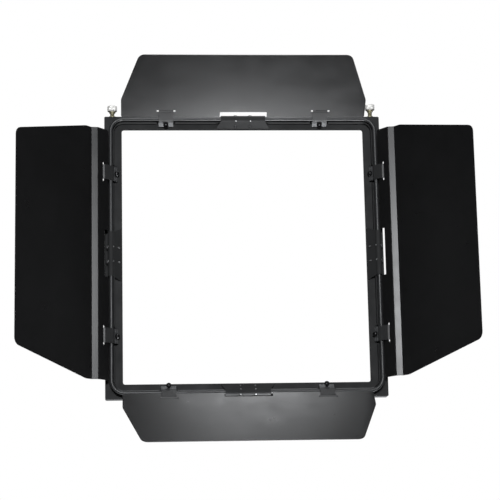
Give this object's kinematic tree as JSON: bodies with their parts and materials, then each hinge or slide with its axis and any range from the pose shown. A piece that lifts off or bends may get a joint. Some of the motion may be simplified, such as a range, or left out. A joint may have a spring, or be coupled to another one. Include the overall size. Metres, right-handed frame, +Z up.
{
  "type": "barn door attachment",
  "caption": "Barn door for a square studio lamp panel: folding black metal leaves on friction clips around a wire-rimmed frame that slips over the lamp and is clamped by thumb screws.",
  "frame": {"origin": "centre of the frame's opening, on the back face of its plate, where the front of the lamp sits", "axes": "+Y from the plate towards the lamp, so the beam leaves along -Y; +X across the frame to the right as seen from the lamp's back; +Z up, with the thumb screws on top"},
  "size_m": [0.5128, 0.1532, 0.4467],
  "materials": {
    "frame_paint": "black powder coat, satin",
    "wire_paint": "black paint worn to a dull sheen on the wire",
    "leaf_paint": "matte black heat-resistant coat",
    "clip_paint": "black satin coat",
    "zinc": "dull zinc plate",
    "black_oxide": "black oxide, slightly shiny",
    "nickel": "knurled nickel plate",
    "brass": "plain brass"
  },
  "bodies": {
    "frame": {"back_frame": "frame_paint", "rim_tray": "frame_paint", "hinge_wire": "wire_paint", "wire_bracket_top": "frame_paint", "bracket_screw_top_a": "zinc", "bracket_screw_top_b": "zinc", "wire_bracket_right": "frame_paint", "bracket_screw_right_a": "zinc", "bracket_screw_right_b": "zinc", "wire_bracket_bottom": "frame_paint", "bracket_screw_bottom_a": "zinc", "bracket_screw_bottom_b": "zinc", "wire_bracket_left": "frame_paint", "bracket_screw_left_a": "zinc", "bracket_screw_left_b": "zinc", "thumb_bush_left": "brass", "thumb_bush_right": "brass"},
    "door_top": {"leaf_top": "leaf_paint", "clip_strap_top_a": "clip_paint", "clip_jaw_top_a": "clip_paint", "washer_plate_top_a": "zinc", "tension_screw_top_a": "black_oxide", "clip_strap_top_b": "clip_paint", "clip_jaw_top_b": "clip_paint", "washer_plate_top_b": "zinc", "tension_screw_top_b": "black_oxide"},
    "door_right": {"leaf_right": "leaf_paint", "clip_strap_right_a": "clip_paint", "clip_jaw_right_a": "clip_paint", "washer_plate_right_a": "zinc", "tension_screw_right_a": "black_oxide", "clip_strap_right_b": "clip_paint", "clip_jaw_right_b": "clip_paint", "washer_plate_right_b": "zinc", "tension_screw_right_b": "black_oxide"},
    "door_bottom": {"leaf_bottom": "leaf_paint", "clip_strap_bottom_a": "clip_paint", "clip_jaw_bottom_a": "clip_paint", "washer_plate_bottom_a": "zinc", "tension_screw_bottom_a": "black_oxide", "clip_strap_bottom_b": "clip_paint", "clip_jaw_bottom_b": "clip_paint", "washer_plate_bottom_b": "zinc", "tension_screw_bottom_b": "black_oxide"},
    "door_left": {"leaf_left": "leaf_paint", "clip_strap_left_a": "clip_paint", "clip_jaw_left_a": "clip_paint", "washer_plate_left_a": "zinc", "tension_screw_left_a": "black_oxide", "clip_strap_left_b": "clip_paint", "clip_jaw_left_b": "clip_paint", "washer_plate_left_b": "zinc", "tension_screw_left_b": "black_oxide"},
    "clamp_left": {"thumb_screw_left": "nickel"},
    "clamp_right": {"thumb_screw_right": "nickel"}
  },
  "joints": [
    {"name": "door_top_hinge", "type": "hinge", "parent": "frame", "child": "door_top", "pos_m": [0, -0.012, 0.1636], "axis": [1, 0, 0], "range_deg": [-81.5, 128.5]},
    {"name": "door_right_hinge", "type": "hinge", "parent": "frame", "child": "door_right", "pos_m": [0.15785, -0.012, 0], "axis": [0, 0, -1], "range_deg": [-86.3, 123.7]},
    {"name": "door_bottom_hinge", "type": "hinge", "parent": "frame", "child": "door_bottom", "pos_m": [0, -0.012, -0.1636], "axis": [-1, 0, 0], "range_deg": [-77, 133]},
    {"name": "door_left_hinge", "type": "hinge", "parent": "frame", "child": "door_left", "pos_m": [-0.15785, -0.012, 0], "axis": [0, 0, 1], "range_deg": [-81.2, 128.8]},
    {"name": "clamp_left_slide", "type": "slide", "parent": "frame", "child": "clamp_left", "axis": [0, 0, -1], "range_m": [-0.002, 0.003]},
    {"name": "clamp_right_slide", "type": "slide", "parent": "frame", "child": "clamp_right", "axis": [0, 0, -1], "range_m": [-0.002, 0.0045]}
  ]
}
